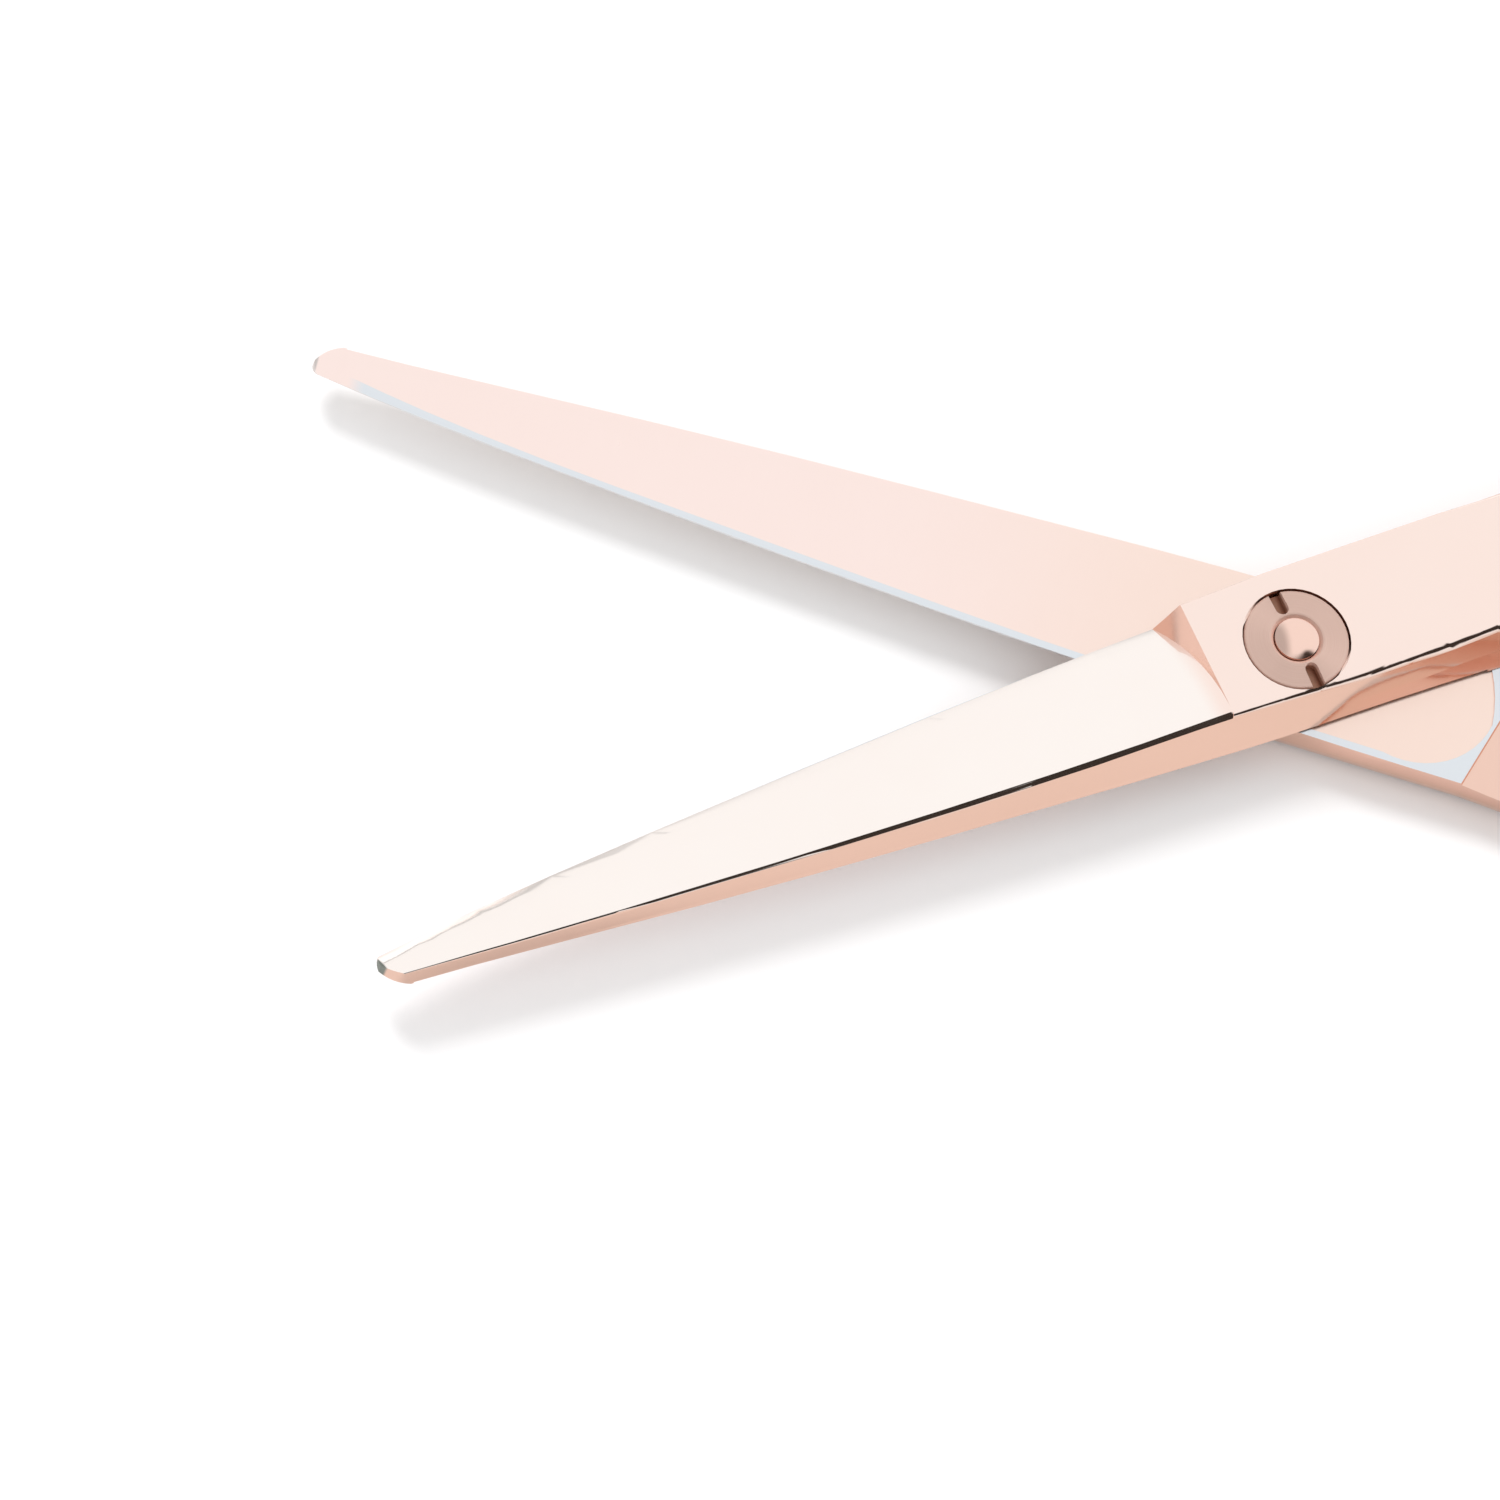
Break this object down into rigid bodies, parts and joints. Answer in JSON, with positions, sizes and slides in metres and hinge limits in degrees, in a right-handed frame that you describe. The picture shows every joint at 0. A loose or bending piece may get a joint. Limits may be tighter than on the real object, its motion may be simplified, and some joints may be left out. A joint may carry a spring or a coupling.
{
  "type": "hair cutting shears",
  "caption": "Right-handed hair cutting shears with hollow-ground blades, a flat tension dial at the pivot, offset finger rings, a finger rest and a bumper.",
  "frame": {"origin": "on the pivot axis, on the flat back of the pivot bolt's head, which the shears rest on", "axes": "+Z along the pivot axis towards the tension dial; the open blades point to -X either side of the XZ plane and the finger rings lie towards +X"},
  "size_m": [0.1491, 0.1112, 0.0069],
  "materials": {
    "rose_metal": "polished rose gold coating on steel",
    "rose_dial": "turned rose gold coating",
    "rose_bolt": "polished rose gold coating",
    "rose_rest": "polished rose gold coating",
    "spring_steel": "satin",
    "bronze": "machined",
    "nylon": "matte",
    "soft_liner": "matte soft",
    "bumper_rubber": "matte"
  },
  "bodies": {
    "finger_half": {"front_blade": "rose_metal", "pivot_bolt": "rose_bolt", "click_spring": "spring_steel", "finger_ring_insert": "soft_liner", "finger_rest": "rose_rest", "bumper": "bumper_rubber"},
    "thumb_half": {"back_blade": "rose_metal", "pivot_bush": "bronze", "head_washer": "nylon", "ride_washer": "nylon", "thumb_ring_insert": "soft_liner"},
    "tension_dial": {"tension_dial": "rose_dial"}
  },
  "joints": [
    {"name": "blade_pivot", "type": "hinge", "parent": "finger_half", "child": "thumb_half", "pos_m": [0, 0, 0.0034], "axis": [0, 0, 1], "range_deg": [-90, 38]},
    {"name": "dial_turn", "type": "hinge", "parent": "finger_half", "child": "tension_dial", "pos_m": [0, 0, 0.0034], "axis": [0, 0, 1], "range_deg": [-90, 90]}
  ]
}
